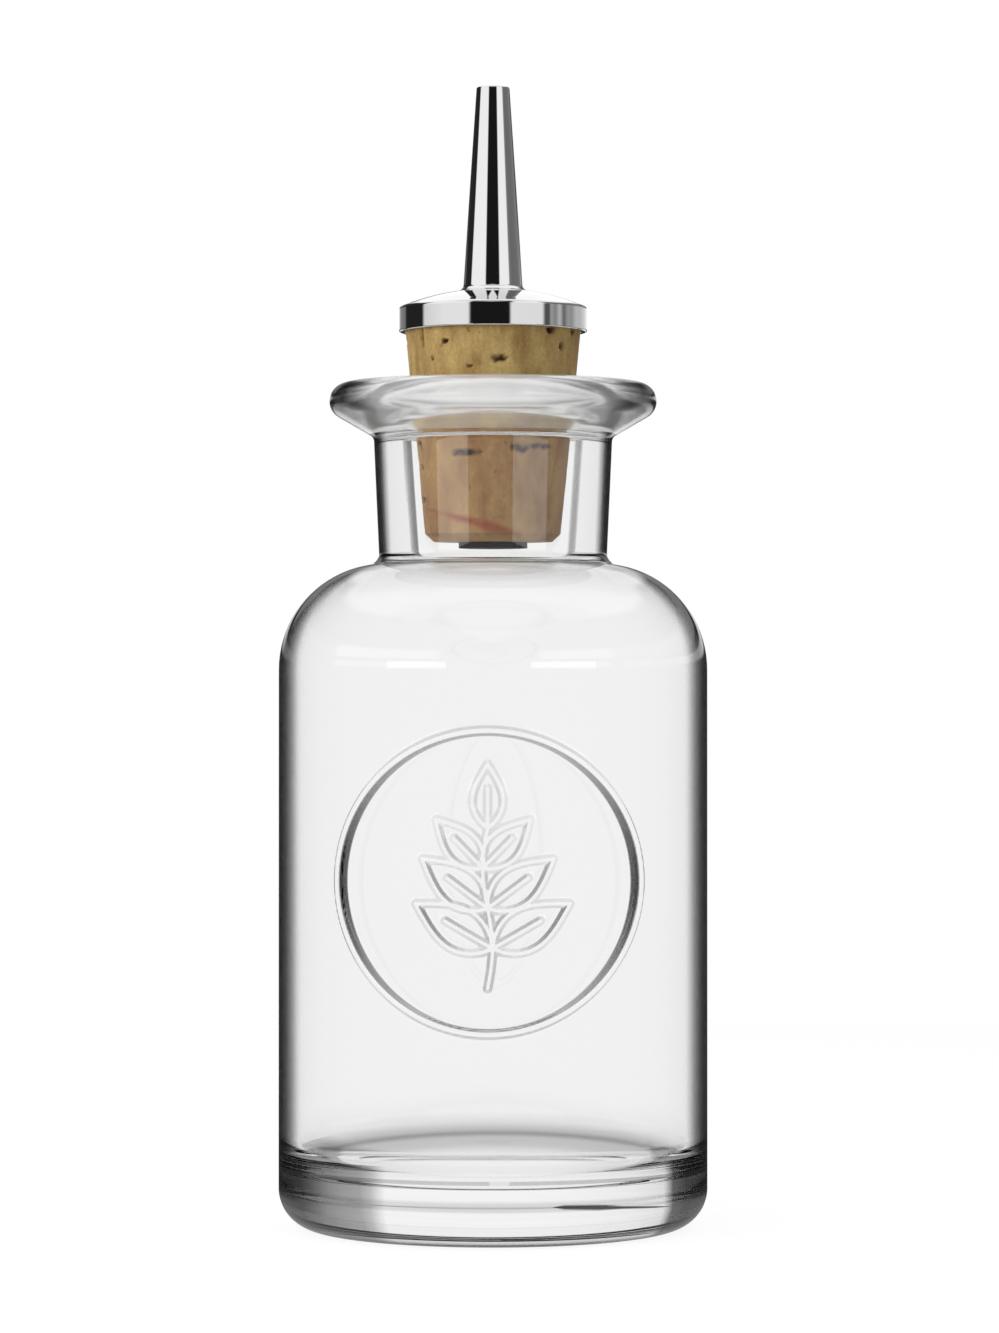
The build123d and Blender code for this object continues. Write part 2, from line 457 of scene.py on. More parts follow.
class MetalSizes(bpy.types.PropertyGroup):
    """The chromed cap and spout."""

    cap_radius: length("Outside radius of the cap", radius_of("pourer_cap"))
    cap_wall: length("Thickness of the pressed cap", 0.9)
    skirt: length("Height of the cap's skirt", 3.0)
    dome_rise: length("Height of the dome over the skirt", 2.35)
    cap_edge: length("Rounding between skirt and dome", 0.45)
    skirt_edge: length("Rounding of the skirt's foot", 0.2)
    seat: length("Radius of the flat under the spout", 4.4)
    collar: length("Radius of the shank's collar under the dome", 5.0)
    hole: length("Radius of the hole for the spigot", 2.92)
    spout_base: length("Radius of the spout over its flare", 3.7)
    spout_tip: length("Radius of the spout's tip", 2.03)
    flare: length("Size of the flare at the spout's foot", 0.5)
    bore: length("Radius of the bore at the foot", 2.3)
    tip_bore: length("Radius of the bore at the tip", 1.35)
    tip_edge: length("Rounding of the tip", 0.25)
    spigot: length("Radius of the spigot inside the shank", 2.9)
    spigot_length: length("Length of the spigot", 4.0)
    chrome: colour("Chrome plate seen square on", "#dddddd")


class StudioSettings(bpy.types.PropertyGroup):
    """Camera, floor and light."""

    distance: length("From the bottle's axis to the camera", 584.0)
    camera_height: length("Height of the camera over the floor", 65.0)
    camera_aside: length("How far the camera is moved to the right", 0.8)
    camera_turn: turn("How far the camera stands round to the right", 1.3)
    camera_tilt: turn("How far the camera looks up", 0.43)
    sensor: length("Long side of the camera's sensor", 36.0)
    lens: length("Focal length", 127.4)
    floor: length("Width of the round floor", 760.0)
    paper: colour("Pale paper that the bottle stands on", "#f2f2f0")
    glow: plain("How bright the paper is made for the camera", 1.09)
    ambient: plain("Strength of the light from all round", 0.52)
    key: plain("Power of the soft box at the left, in watts", 4.2)
    top: plain("Power of the soft box overhead, in watts", 0.6)
    strip: plain("Power of each of the strips that the neck mirrors, in watts", 0.013)


def settings(name):
    """The scene's copy of one of the groups of sizes."""
    return getattr(bpy.context.scene, name)


def arc(centre, radius, start, end):
    """Points of an arc about a centre, between two angles in radians."""
    turned_by = abs(end - start)
    steps = max(2, round(math.degrees(turned_by) / ARC_STEP), math.ceil(turned_by * radius / CHORD))
    angles = [start + (end - start) * i / steps for i in range(steps + 1)]
    return [(centre[0] + radius * math.cos(a), centre[1] + radius * math.sin(a)) for a in angles]


def rounded(corners, radii):
    """An outline through corners; each inner corner gets its radius, or stays sharp at zero."""
    points = [tuple(corners[0])]
    for before, corner, after, radius in zip(corners, corners[1:], corners[2:], radii):
        if not radius:
            points.append(tuple(corner))
            continue
        back = (Vector(before) - Vector(corner)).normalized()
        ahead = (Vector(after) - Vector(corner)).normalized()
        half = back.angle(ahead) / 2
        centre = Vector(corner) + (back + ahead).normalized() * radius / math.sin(half)
        start = Vector(corner) + back * radius / math.tan(half) - centre
        sweep = math.copysign(math.pi - 2 * half, back.x * ahead.y - back.y * ahead.x)
        first = math.atan2(start.y, start.x)
        points += arc(centre, radius, first, first - sweep)
    return points + [tuple(corners[-1])]


def meet(a, angle_a, b, angle_b):
    """Where the lines through a and b, at two angles in radians, cross."""
    along_a = Vector((math.cos(angle_a), math.sin(angle_a)))
    along_b = Vector((math.cos(angle_b), math.sin(angle_b)))
    apart = Vector(b) - Vector(a)
    cross = along_a.x * along_b.y - along_a.y * along_b.x
    return tuple(Vector(a) + along_a * (apart.x * along_b.y - apart.y * along_b.x) / cross)


def shouldered(spring, radius, neck_point, neck_lean, blend):
    """A round shoulder from its spring, and the hollow blend that takes it into the neck."""
    centre = Vector(spring) - Vector((radius, 0))
    up = Vector((math.sin(neck_lean), math.cos(neck_lean)))
    outward = Vector((up.y, -up.x))
    start = Vector(neck_point) + outward * blend - centre
    along = start.dot(up)
    rise = math.sqrt(along**2 - start.dot(start) + (radius + blend) ** 2) - along
    hollow = centre + start + up * rise
    crest = math.atan2(hollow.y - centre.y, hollow.x - centre.x)
    round_part = arc(centre, radius, 0, crest)
    return round_part + arc(hollow, blend, crest + math.pi, math.pi - neck_lean)[1:]


def supported(outline):
    """The outline with a point close to each end of every straight run."""
    points = [outline[0]]
    for start, end in zip(outline, outline[1:]):
        run = Vector(end) - Vector(start)
        if run.length > 1.2 * CHORD:
            step = run.normalized() * EDGE_GAP
            points += [tuple(Vector(start) + step), tuple(Vector(end) - step)]
        if run.length:
            points.append(end)
    return points


def refined(outline, low, high, step):
    """The outline with points a step apart where it lies between two heights."""
    points = [outline[0]]
    for (r0, z0), (r1, z1) in zip(outline, outline[1:]):
        cuts = {1.0}
        if abs(z1 - z0) > step:
            inside = np.arange(max(low, min(z0, z1)) + step, min(high, max(z0, z1)), step)
            cuts |= {float((z - z0) / (z1 - z0)) for z in inside}
        points += [(r0 + (r1 - r0) * t, z0 + (z1 - z0) * t) for t in sorted(cuts)]
    return points


def turned(name, outline, angles, slots=None):
    """A mesh turned about Z from the front, its outline anticlockwise round the material.

    A closed outline makes a ring; the ends of an open one lie on the axis. slots gives each
    run of the outline its material slot.
    """
    closed = outline[0] == outline[-1]
    rings = outline[:-1] if closed else outline[1:-1]
    columns = len(angles)
    r, z = np.array(rings).T[:, :, None]
    points = np.stack([r * np.sin(angles), -r * np.cos(angles), z + 0 * angles], axis=-1)
    points = points.reshape(-1, 3)
    here = np.arange(columns)
    ahead = np.roll(here, -1)
    starts = [i * columns for i in range(len(rings))]
    faces = []
    for a, b in zip(starts, starts[1:] + starts[:1] if closed else starts[1:]):
        faces += np.stack([a + here, a + ahead, b + ahead, b + here], axis=-1).tolist()
    if not closed:
        pole, last = here * 0 + len(points), starts[-1]
        points = np.vstack([points, (0, 0, outline[0][1]), (0, 0, outline[-1][1])])
        first = np.stack([pole, ahead, here], axis=-1).tolist()
        faces = first + faces + np.stack([last + here, last + ahead, pole + 1], axis=-1).tolist()
    mesh = bpy.data.meshes.new(name)
    mesh.from_pydata(points.tolist(), [], faces)
    mesh.polygons.foreach_set("use_smooth", [True] * len(faces))
    if slots:
        mesh.polygons.foreach_set("material_index", np.repeat(slots, columns).tolist())
    mesh.update()
    made = bpy.data.objects.new(name, mesh)
    bpy.context.scene.collection.objects.link(made)
    return made


def corners_of(piece):
    """A piece's points as an array of x, y and z."""
    values = np.empty(len(piece.data.vertices) * 3)
    piece.data.vertices.foreach_get("co", values)
    return values.reshape(-1, 3)


def pushed(piece, amount):
    """Moves each point of a piece away from the Z axis by its own amount."""
    points = corners_of(piece)
    reach = np.hypot(points[:, 0], points[:, 1])
    share = np.divide(amount, reach, out=np.zeros_like(reach), where=reach > 0)
    points[:, :2] *= (1 + share)[:, None]
    piece.data.vertices.foreach_set("co", points.ravel())
    piece.data.update()


def spread(values, chosen, otherwise):
    """The values at the chosen points, and one value at all the others."""
    every = np.full(len(chosen), otherwise)
    every[chosen] = values
    return every


def noted(piece, name, values):
    """Keeps a number at each point of a piece, for its material."""
    field = piece.data.attributes.new(name, "FLOAT", "POINT")
    field.data.foreach_set("value", values.astype(np.float32))


def even_angles(count=COLUMNS):
    """Angles all round a turned piece, from the front."""
    return np.arange(count) * math.tau / count


def dressed(piece, body, node, slot, *materials):
    """Gives a piece its materials and its place in the frame."""
    for material in materials:
        piece.data.materials.append(material)
    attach(piece, body)
    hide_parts(node)


def add(tree, kind, inputs=(), operation=None, **properties):
    """Adds a node. Its inputs come in order or by key, each a plain value or what feeds it.

    A node that feeds another stands for its first output.
    """
    made = tree.nodes.new("ShaderNode" + kind)
    if operation:
        made.operation = operation
    for name, value in properties.items():
        setattr(made, name, value)
    for name, value in inputs.items() if isinstance(inputs, dict) else enumerate(inputs):
        if isinstance(value, bpy.types.Node):
            value = value.outputs[0]
        if isinstance(value, bpy.types.NodeSocket):
            tree.links.new(value, made.inputs[name])
        else:
            made.inputs[name].default_value = value
    return made


def set_stops(ramp, values):
    """Sets the stops of a colour ramp's node, each a place and a grey or a colour."""
    stops = ramp.color_ramp.elements
    while len(stops) < len(values):
        stops.new(1.0)
    for stop, (place, value) in zip(stops, values):
        stop.position = place
        stop.color = (*value, 1) if isinstance(value, tuple) else (value, value, value, 1)


def point_of(tree):
    """X, Y and Z of the shaded point on its piece, as outputs."""
    return add(tree, "SeparateXYZ", [add(tree, "TexCoord").outputs["Object"]]).outputs


def blank(name):
    """A new material with an empty node tree, and its output."""
    material = bpy.data.materials.new(name)
    material.use_nodes = True
    tree = material.node_tree
    tree.nodes.clear()
    return material, tree, tree.nodes.new("ShaderNodeOutputMaterial")


def painted_edge_light(tree, light_at, lean):
    """Painted shade of a round wall: light it lets through, from where the view meets the axis to the
    outline.

    The wall's slope counts by the share lean only, as the view runs nearly level. A view that
    meets the surface square on stays clear, and so does one that the glass mirrors inside.
    """
    normal = add(tree, "NewGeometry").outputs["Normal"]
    outward = add(tree, "VectorMath", [normal, (1, 1, lean)], "MULTIPLY")
    outward = add(tree, "VectorMath", [outward], "NORMALIZE")
    passing = add(tree, "LayerWeight", [0.5, outward]).outputs["Facing"]
    facing = add(tree, "LayerWeight", [0.5]).outputs["Facing"]
    # The ramp paints shade onto the glass toward its outline
    edge = add(tree, "ValToRGB", [add(tree, "Math", [passing, facing], "MINIMUM")])
    set_stops(edge, light_at)
    mirrored = add(tree, "LightPath").outputs["Glossy Depth"]
    return add(tree, "Math", [edge, mirrored], "MAXIMUM", use_clamp=True)


def flint_glass(name, light_at=(), shade=None, lean=0.0, roughness=0.0, clear=1.0):
    """Soda-lime flint glass: clear square on, with painted shade where the view passes the axis far
    off.

    light_at and lean are those of the painted edge light, and shade adds nodes that paint more light
    and shade onto it. The shader takes the root of its colour on the way through, so the colour is
    the square of the light. What isn't clear is a fine haze.
    """
    material, tree, output = blank(name)
    light = painted_edge_light(tree, light_at, lean) if light_at else 1.0
    if shade:
        light = shade(tree, light)
    looks = {
        "Base Color": add(tree, "Math", [light, 2.0], "POWER"),
        "Roughness": roughness,
        "IOR": 1.5,
        "Transmission Weight": clear,
    }
    glass = add(tree, "BsdfPrincipled", looks)
    shadow = add(tree, "BsdfTransparent", [GLASS_SHADOW])
    in_shadow = add(tree, "LightPath").outputs["Is Shadow Ray"]
    mixed = add(tree, "MixShader", [in_shadow, glass, shadow])
    tree.links.new(mixed.outputs[0], output.inputs["Surface"])
    return material


def natural_cork():
    """Natural cork, ground to a taper: fine cells, growth streaks, and bark dust in its pores."""
    sizes = settings("cork_sizes")
    material, tree, output = blank("natural_cork_ground")
    place = add(tree, "TexCoord").outputs["Object"]
    cells = add(tree, "TexVoronoi", {"Vector": place, "Scale": 1 / sizes.grain})
    drawn = add(tree, "Mapping", {"Vector": place, "Scale": (1.0, 1.0, 0.4)})
    streaks = {"Vector": drawn, "Scale": 1 / mm(3.0), "Detail": 7.0, "Roughness": 0.65}
    tone = add(tree, "ValToRGB", [add(tree, "TexNoise", streaks)])
    set_stops(tone, [(0.3, tuple(sizes.dark)), (0.66, tuple(sizes.light))])
    cell_tone = add(tree, "ValToRGB", [cells])
    set_stops(cell_tone, [(0.1, 1.0), (0.7, 0.86)])
    specks = {"Vector": place, "Scale": 1 / mm(0.9), "Detail": 3.0}
    flecks = add(tree, "ValToRGB", [add(tree, "TexNoise", specks)])
    set_stops(flecks, [(0.66, 0.0), (0.74, 0.7)])
    stained, pored = (
        add(tree, "Attribute", attribute_name=name).outputs["Fac"] for name in ("stain", "pore")
    )
    colour_so_far = tone
    for share, over, way in (
        (1.0, cell_tone, "MULTIPLY"),
        (flecks, (*sizes.fleck, 1), "MIX"),
        (stained, (*sizes.stain, 1), "MIX"),
        (pored, (*sizes.bark, 1), "MIX"),
    ):
        layers = {0: share, 6: colour_so_far, 7: over}
        colour_so_far = add(tree, "Mix", layers, data_type="RGBA", blend_type=way).outputs[2]
    looks = {
        "Base Color": colour_so_far,
        "Roughness": 0.82,
        "Specular IOR Level": 0.25,
        "Normal": add(tree, "Bump", {"Strength": 0.35, "Distance": mm(0.12), "Height": cells}),
    }
    cork = add(tree, "BsdfPrincipled", looks)
    tree.links.new(cork.outputs[0], output.inputs["Surface"])
    return material


def polished_metal(name, tint, least, most):
    """Polished plate: a near mirror, with the faint uneven gloss that polishing and fingers leave.

    least and most are the roughnesses between which it varies.
    """
    material, tree, output = blank(name)
    place = add(tree, "TexCoord").outputs["Object"]
    patches = add(tree, "TexNoise", {"Vector": place, "Scale": 1 / mm(4.0), "Detail": 5.0})
    peel = add(tree, "TexNoise", {"Vector": place, "Scale": 1 / mm(1.2), "Detail": 2.0})
    looks = {
        "Base Color": (*tint, 1),
        "Metallic": 1.0,
        "Roughness": add(tree, "MapRange", [patches, 0.3, 0.7, least, most]),
        "Normal": add(tree, "Bump", {"Strength": 0.02, "Distance": mm(0.02), "Height": peel}),
    }
    metal = add(tree, "BsdfPrincipled", looks)
    tree.links.new(metal.outputs[0], output.inputs["Surface"])
    return material


def moulded_polyethylene():
    """Black polyethylene, moulded: waxy, with a fine even grain."""
    material, tree, output = blank("polyethylene_black_moulded")
    place = add(tree, "TexCoord").outputs["Object"]
    grain = add(tree, "TexNoise", {"Vector": place, "Scale": 1 / mm(0.25), "Detail": 3.0})
    tone = add(tree, "ValToRGB", [grain])
    set_stops(tone, [(0.3, linear("#080304")), (0.7, linear("#12080a"))])
    looks = {
        "Base Color": tone,
        "Roughness": 0.6,
        "Specular IOR Level": 0.05,
        "IOR": 1.51,
        "Normal": add(tree, "Bump", {"Strength": 0.2, "Distance": mm(0.03), "Height": grain}),
    }
    plastic = add(tree, "BsdfPrincipled", looks)
    tree.links.new(plastic.outputs[0], output.inputs["Surface"])
    return material


def outside_outline(sizes):
    """The glass from the push-up's crown round the outside to the brow of the lip.

    The second value is how many of its runs belong to the base.
    """
    edge_radius = sizes.body_radius - sizes.bearing_width
    dome = (edge_radius**2 + sizes.push_up**2) / (2 * sizes.push_up)
    slope = math.asin(edge_radius / dome)
    hollow = arc((0, sizes.push_up - dome), dome, math.pi / 2, math.pi / 2 - slope * PUSH_UP_ARC)
    spring = (sizes.body_radius, sizes.spring)
    base = rounded(
        [hollow[-1], (edge_radius, 0), (sizes.body_radius, 0), spring],
        (sizes.bearing_edge, sizes.base_corner),
    )
    crown = (sizes.neck_radius, sizes.spring + sizes.shoulder)
    shoulder = shouldered(spring, sizes.shoulder, crown, sizes.neck_angle, sizes.shoulder_blend)
    lip_centre = (sizes.lip_radius - sizes.lip_edge, sizes.height - sizes.lip_edge)
    under, brow = sizes.lip_underside - math.pi / 2, math.pi / 2 + sizes.lip_dish
    lip = arc(lip_centre, sizes.lip_edge, under, brow)
    root = meet(shoulder[-1], math.pi / 2 - sizes.neck_angle, lip[0], sizes.lip_underside)
    neck = rounded([shoulder[-1], root, lip[0]], (sizes.lip_root,))
    heel = (sizes.body_radius, sizes.floor_height + sizes.base_top)
    foot = supported(hollow[:-1] + base[:-1] + [heel])
    return foot + supported([heel] + shoulder[:-1] + neck[:-1] + lip)[1:], len(foot) - 1


def inside_outline(sizes, brow):
    """The glass from the brow of the lip down through the throat and round to the floor."""
    throat = (sizes.throat_radius, sizes.height - sizes.throat_depth)
    mouth = meet(throat, math.pi / 2 - sizes.throat_angle, brow, sizes.lip_dish)
    bore_top = (sizes.bore_radius, throat[1] - sizes.undercut)
    spring = (sizes.body_radius - sizes.wall, sizes.spring - sizes.inner_drop)
    shoulder = shouldered(spring, sizes.inner_shoulder, bore_top, sizes.bore_angle, sizes.inner_blend)
    neck = rounded(
        [brow, mouth, throat, bore_top, shoulder[-1]],
        (sizes.mouth_round, sizes.throat_round, sizes.throat_round),
    )
    floor = rounded(
        [spring, (spring[0], sizes.floor_height), (0, sizes.floor_height)], (sizes.floor_corner,)
    )
    return neck[:-1] + shoulder[:0:-1] + floor


def leaf_lines(foot, tip_length, slope):
    """A leaf's two raised edges and its midrib, from its foot on the stem."""
    along = Vector((math.cos(slope), math.sin(slope))) * tip_length
    across = Vector((-along.y, along.x))
    shares = np.linspace(0, 1, LEAF_POINTS)
    bulges = np.sin(math.pi * shares**LEAF_SHAPE)
    return [
        [foot + along * t * reach + across * side * bulge for t, bulge in zip(shares, bulges)]
        for side, reach in LEAF_LINES
    ]


def sprig_lines(sizes):
    """The raised lines of the herb sprig, about the ring's centre."""
    foot = Vector((0, -sizes.stem * STEM_BELOW))
    stem = [
        foot + Vector((sizes.stem * STEM_SWAY * math.sin(t * math.tau), sizes.stem * t))
        for t in np.linspace(0, 1, STEM_POINTS)
    ]
    lines = [stem] + leaf_lines(stem[-1], sizes.leaf * TOP_LEAF, math.pi / 2)
    for place, size, degrees in LEAF_SHARES:
        node = stem[round(place * (len(stem) - 1))]
        for slope in (math.radians(degrees), math.pi - math.radians(degrees)):
            lines += leaf_lines(node, sizes.leaf * size, slope)
    return lines


def distance_to(lines, x, z):
    """Least distance from each point to any of the lines."""
    nearest = np.full(x.shape, np.inf)
    for line in lines:
        for start, end in zip(line, line[1:]):
            run = end - start
            t = ((x - start.x) * run.x + (z - start.y) * run.y) / run.length_squared
            t = np.clip(t, 0, 1)
            nearest = np.minimum(nearest, np.hypot(x - start.x - t * run.x, z - start.y - t * run.y))
    return nearest


def roundel_relief(sizes, x, z):
    """How far the ring and the sprig stand off the wall at points about the ring's centre.

    It also gives how far each point is from the middle of a slope, in half widths of the painted dark
    line on that slope, and how much light the painted shade leaves on the sprig's slopes. A slope that
    faces the ring's upright middle line is painted darkest, and the sprig's top is painted faint.
    """
    ring = np.hypot(x, z) - (sizes.radius - sizes.bead_width / 2)
    strokes = sprig_lines(sizes)
    sprig = distance_to(strokes, x, z)
    lean = (distance_to(strokes, x + sizes.grid / 4, z) - sprig) / (sizes.grid / 4)
    rise = np.zeros_like(x)
    for off, width, height in (
        (np.abs(ring), sizes.bead_width, sizes.bead_rise),
        (sprig, sizes.line_width, sizes.line_rise),
    ):
        flank = np.clip((width / 2 - off) / sizes.bead_flank, 0, 1)
        rise = np.maximum(rise, height * flank * flank * (3 - 2 * flank))
    half = sizes.bead_flank / 2
    wide = half * (1 + RING_WIDER * (x / sizes.radius) ** 2)
    middle = sizes.bead_width / 2 - half
    # Painted shade for the sprig's slopes, kept at each point for the material
    every, leaning, facing = SPRIG_DARK
    inward = -lean * np.clip(x / SPRIG_MIDDLE, -1, 1)
    dark = np.clip(every + leaning * np.abs(lean) + facing * inward, *SPRIG_DARK_LIMITS)
    strength = np.clip(SPRIG_STRENGTH - z / sizes.radius, *SPRIG_STRENGTH_LIMITS)
    fields = {
        "ring_inner": (ring + middle - half + wide) / wide,
        "ring_outer": (ring - middle) / half,
        "sprig": (sprig - sizes.line_width / 2 + half) / half,
        "sprig_light": 1 - dark * strength,
    }
    return rise, fields


class BOTTLE_OT_glass(bpy.types.Operator):
    """Turns the glass bottle, raises the roundel on its front and makes it flint glass"""

    bl_idname = "bottle.glass"
    bl_label = "Glass bottle"

    def execute(self, context):
        sizes, roundel = settings("bottle_sizes"), settings("roundel_sizes")
        reach = roundel.radius + roundel.bead_flank
        outside, base_runs = outside_outline(sizes)
        margin = reach + 3 * roundel.grid
        outside = refined(outside, roundel.height - margin, roundel.height + margin, roundel.grid)
        inside = supported(inside_outline(sizes, outside[-1]))
        edge = math.asin(reach / sizes.body_radius)
        front = np.linspace(-edge, edge, round(2 * edge * sizes.body_radius / roundel.grid))
        behind = np.linspace(edge, math.tau - edge, COLUMNS // 2)[1:-1]
        under = sizes.body_radius - sizes.base_corner
        neck_foot = sizes.spring + sizes.inner_shoulder
        seat_foot = sizes.height - sizes.throat_depth - sizes.undercut
        lip_foot = sizes.height - sizes.throat_depth
        slots = [INNER if r < under else BASE for r, z in outside[1 : base_runs + 1]]
        for r, z in outside[base_runs + 1 :]:
            slots.append(LIP if z > lip_foot else NECK if z > neck_foot else OUTER)
        for r, z in inside[1:]:
            slots.append(MOUTH if z > seat_foot else BORE if z > neck_foot else INNER)
        angles = np.concatenate([front, behind])
        bottle = turned("flint_bottle", outside + inside[1:], angles, slots)
        points = corners_of(bottle)
        x, z = points[:, 0], points[:, 2] - roundel.height
        on_wall = np.hypot(x, points[:, 1]) > sizes.body_radius - EDGE_GAP
        raised = (points[:, 1] < 0) & on_wall & (np.hypot(x, z) < reach)
        rise, fields = roundel_relief(roundel, x[raised], z[raised])
        for name, values in fields.items():
            noted(bottle, name, spread(values, raised, FAR))
        pushed(bottle, spread(rise, raised, 0.0))
        skins = (outer_glass, inner_glass, bore_glass, base_glass, lip_glass, neck_glass, mouth_glass)
        dressed(bottle, "bottle", "glass_bottle", "glass", *(skin() for skin in skins))
        return {"FINISHED"}


def outer_glass():
    """Fire-polished outer skin, with painted shade in the outer tenth of its width."""
    return flint_glass(
        "flint_glass_fire_polished",
        [(0.0, 1.0), (0.57, 1.0), (0.632, 0.5), (0.68, 0.25), (0.74, 0.1), (0.82, 0.04), (1.0, 0.04)],
        painted_relief_shade,
        lean=WALL_LEAN,
    )


def painted_relief_shade(tree, light):
    """Painted shade on the steep sides of the ring and the sprig, where glass bends the light away and
    so looks dark.
    """
    x = point_of(tree)[0]
    aside = add(tree, "Math", [x, 1 / settings("roundel_sizes").radius], "MULTIPLY")
    aside = add(tree, "Math", [aside, 2.0], "POWER")
    for name, least in (
        ("ring_inner", add(tree, "MapRange", [aside, 0.0, 1.0, *RING_INNER_LIGHT])),
        ("ring_outer", add(tree, "MapRange", [aside, 0.0, 1.0, *RING_OUTER_LIGHT])),
        ("sprig", add(tree, "Attribute", attribute_name="sprig_light").outputs["Fac"]),
    ):
        off = add(tree, "Attribute", attribute_name=name).outputs["Fac"]
        off = add(tree, "Math", [off], "ABSOLUTE")
        share = add(
            tree, "MapRange", [off, *SLOPE_FADE, least, 1.0], interpolation_type="SMOOTHSTEP"
        )
        light = add(tree, "Math", [light, share], "MULTIPLY")
    return light


def inner_glass():
    """Blown inner skin, clear at every angle but for painted shade at the floor's corner at the far
    side.
    """
    return flint_glass("flint_glass_blown", shade=painted_corner_shade)


def painted_corner_shade(tree, light):
    """Painted dark line and soft shade of the floor's inside corner, where the view enters it from the
    air.

    Two painted darker patches lie low at the sides, as seen from either side of the skin.
    """
    x, _, z = point_of(tree)
    aside = add(tree, "Math", [x, 2.0], "POWER")
    sunk = add(tree, "Math", [aside, CORNER_SAG / mm(1), z], "MULTIPLY_ADD")
    share = add(tree, "Math", [sunk, 1 / mm(CORNER_TOP)], "MULTIPLY")
    corner = add(tree, "ValToRGB", [share])
    set_stops(corner, [(height / CORNER_TOP, value) for height, value in CORNER_LIGHT])
    inside = add(tree, "NewGeometry").outputs["Backfacing"]
    shade = add(tree, "Math", [corner, inside], "MAXIMUM")
    outer = add(tree, "MapRange", [aside, *(reach**2 for reach in CORNER_ASIDE)])
    low = add(tree, "MapRange", [z, *CORNER_DOWN])
    patch = add(tree, "Math", [outer, low], "MULTIPLY")
    patch_light = add(tree, "MapRange", [patch, 0.0, 1.0, 1.0, CORNER_PATCH])
    for other in (patch_light, light):
        shade = add(tree, "Math", [shade, other], "MULTIPLY")
    return shade


def bore_glass():
    """Plunger-pressed skin of the bore, with painted shade where the view skims it."""
    return flint_glass(
        "flint_glass_pressed",
        [(0.0, 1.0), (0.56, 1.0), (0.62, 0.35), (0.72, 0.05), (1.0, 0.05)],
        painted_left_shade,
    )


def painted_left_shade(tree, light):
    """Painted shade at the left, where the thick neck mirrors the black card."""
    x = point_of(tree)[0]
    power = add(tree, "MapRange", [x, *BORE_LEFT, BORE_LEFT_POWER, 1.0])
    return add(tree, "Math", [light, power], "POWER")


def base_glass():
    """Moulded skin of the thick base, with painted reflection of the dark room from further in."""
    return flint_glass("flint_glass_moulded", shade=painted_base_shade)


def painted_base_shade(tree, light):
    """Painted reflection of the room on the base's dark sides, further in at the left, where the black
    card stands.

    The front has a painted reflection of a narrow flag, a dark line at its right, and a painted dark
    line of shade round its foot.
    """
    x, y, z = point_of(tree)
    right = add(tree, "MapRange", [x, mm(-0.5), mm(0.5)])
    left_side, right_side = (painted_edge_light(tree, light_at, 0.0) for light_at in (BASE_LEFT, BASE_RIGHT))
    sides = add(tree, "Mix", {0: right, 2: left_side, 3: right_side})
    aside = add(tree, "Math", [x, 2.0], "POWER")
    off = add(tree, "Math", [aside, FLAG_SAG / mm(1), z], "MULTIPLY_ADD")
    off = add(tree, "Math", [off, FLAG_HEIGHT], "SUBTRACT")
    off = add(tree, "Math", [off], "ABSOLUTE")
    across = add(tree, "Math", [x, 1 / mm(FLAG_REACH)], "MULTIPLY")
    width = add(tree, "ValToRGB", [across])
    set_stops(width, [(place / FLAG_REACH, share) for place, share in FLAG_WIDTHS])
    width = add(tree, "Math", [width, mm(0.5)], "MULTIPLY")
    past = add(tree, "MapRange", {"Value": off, "From Min": 0.0, "From Max": width})
    behind = add(tree, "Math", [y, 0.0], "GREATER_THAN")
    past = add(tree, "Math", [past, behind], "MAXIMUM")
    flag = add(tree, "MapRange", [past, FLAG_EDGE, 1.0, FLAG_LIGHT, 1.0])
    foot = add(tree, "MapRange", [z, *FOOT_LINE, FOOT_LIGHT, 1.0])
    inside = add(tree, "NewGeometry").outputs["Backfacing"]
    foot = add(tree, "Math", [foot, inside], "MAXIMUM")
    shade = add(tree, "Math", [flag, foot], "MULTIPLY")
    return add(tree, "Math", [sides, shade], "MULTIPLY")


def neck_glass():
    """Fire-polished skin of the neck, whose thick wall gets painted shade only close to the outline."""
    return flint_glass(
        "flint_glass_fire_polished_neck",
        [(0.0, 1.0), (0.54, 1.0), (0.61, 0.5), (0.67, 0.12), (0.74, 0.03), (1.0, 0.02)],
        lean=WALL_LEAN,
    )


def lip_glass():
    """Tooled glass of the lip: the tool leaves it uneven and a little hazy, and painted shade darkens
    its outline, so it looks soft grey.
    """
    return flint_glass(
        "flint_glass_tooled",
        [(0.0, 1.0), (0.34, 1.0), (0.46, 0.45), (0.6, 0.1), (0.8, 0.04), (1.0, 0.03)],
        painted_rim_shade_only,
        roughness=TOOLED,
        clear=0.76,
    )


def mouth_glass():
    """Tooled glass inside the mouth, down to the end of the cork's seat."""
    return flint_glass("flint_glass_tooled_mouth", roughness=TOOLED)


def painted_rim_shade_only(tree, light):
    """Keeps the painted shade on the outer side of the rim only, with none under it or from inside."""
    inside = add(tree, "NewGeometry").outputs["Backfacing"]
    top = settings("bottle_sizes").height
    under = add(tree, "MapRange", [point_of(tree)[2], *(top - depth for depth in RIM_SIDE)])
    clear = add(tree, "Math", [inside, under], "MAXIMUM")
    return add(tree, "Math", [light, clear], "MAXIMUM")


def noise_on(points, size):
    """Even noise at points, between about -1 and 1, with lumps of a size."""
    return np.array([noise.noise(Vector(p) / size) for p in points])


